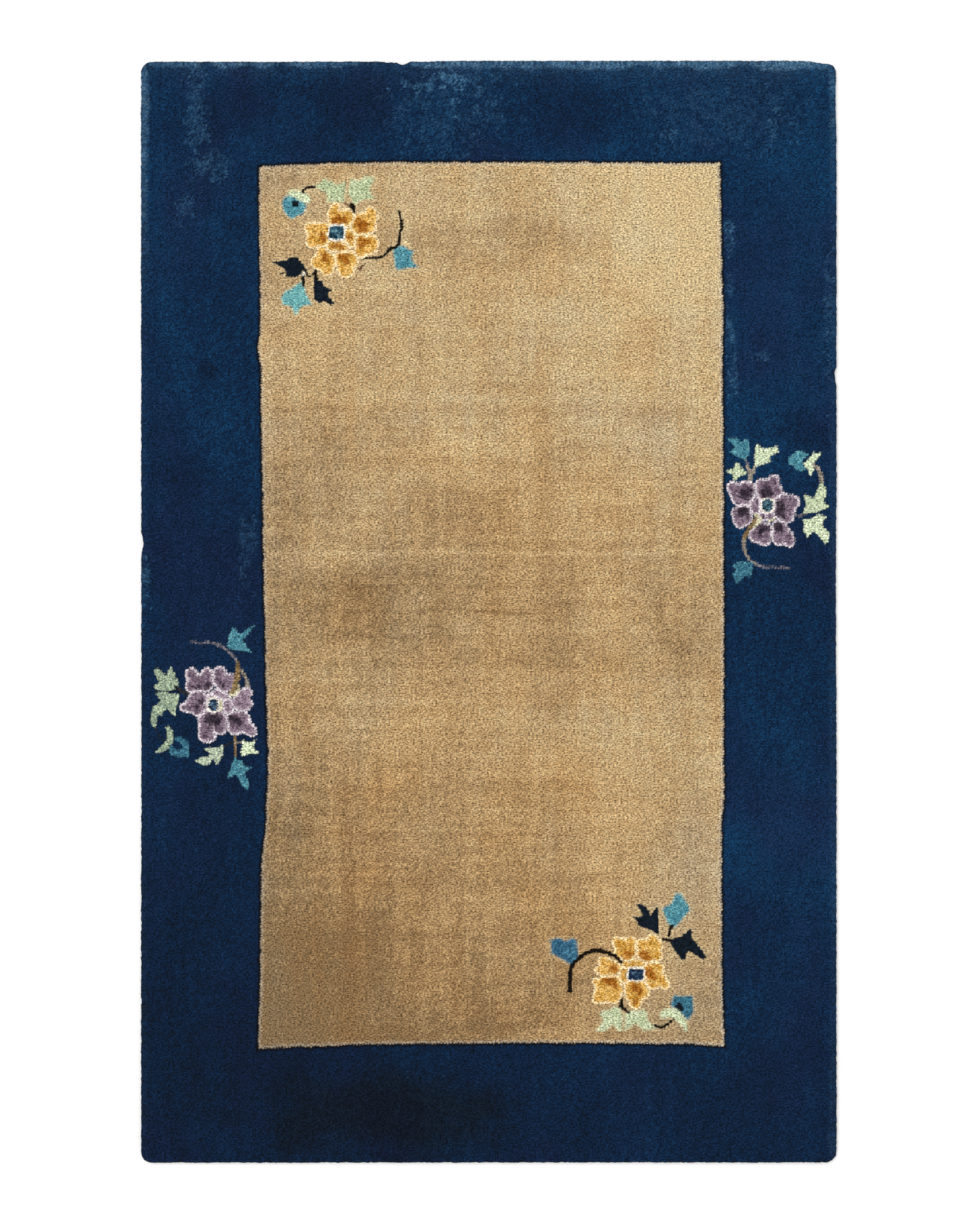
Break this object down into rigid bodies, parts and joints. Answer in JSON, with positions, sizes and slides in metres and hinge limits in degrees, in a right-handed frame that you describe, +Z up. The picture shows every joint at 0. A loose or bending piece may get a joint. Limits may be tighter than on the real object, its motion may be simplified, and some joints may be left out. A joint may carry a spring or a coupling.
{
  "type": "chinese art deco rug",
  "caption": "Small hand-knotted wool rug lying flat: wide navy border, camel field, flower and leaf sprays in opposite corners, rounded corners and a clipped pile.",
  "frame": {"origin": "middle of the flat underside", "axes": "+Z up out of the pile, +Y along the rug's length towards the top of its design, +X across its width"},
  "size_m": [0.914, 1.448, 0.011],
  "materials": {
    "wool_pile": "dense clipped wool pile on a cotton foundation, camel field within a navy border, matt and a little worn"
  },
  "bodies": {
    "root": {"rug": "wool_pile"}
  },
  "joints": []
}
